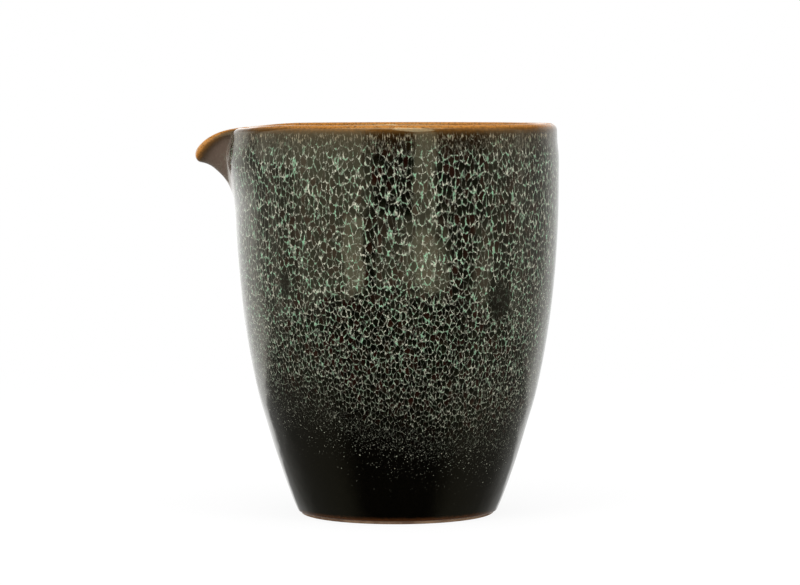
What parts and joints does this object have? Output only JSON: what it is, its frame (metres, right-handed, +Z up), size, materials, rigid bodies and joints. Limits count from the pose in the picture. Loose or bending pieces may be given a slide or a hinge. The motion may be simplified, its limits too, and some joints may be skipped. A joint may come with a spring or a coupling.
{
  "type": "tea pitcher",
  "caption": "Deep round stoneware tea pitcher with a beak spout, a turned foot ring, no handle, and a dark glaze with a pale crystal net.",
  "frame": {"origin": "on the ground, below the middle of the whole pitcher's outline, spout included, so the cup's axis stands 4.7 mm to +X of it", "axes": "+Z up out of the mouth, -X along the spout, Y across the spout"},
  "size_m": [0.0842, 0.0748, 0.0901],
  "materials": {
    "bare_clay": "matte, bare fired stoneware",
    "dark_glaze": "gloss, near black with brown where thin",
    "net_glaze": "gloss, a pale grey-green crystal net over dark cells",
    "lip_glaze": "gloss, amber where the glaze has run thin"
  },
  "bodies": {
    "root": {"clay_cup": "bare_clay", "clay_spout": "bare_clay", "foot_ring": "bare_clay", "outer_glaze": "dark_glaze", "net_glaze": "net_glaze", "lip_glaze": "lip_glaze", "inner_glaze": "dark_glaze"}
  },
  "joints": []
}
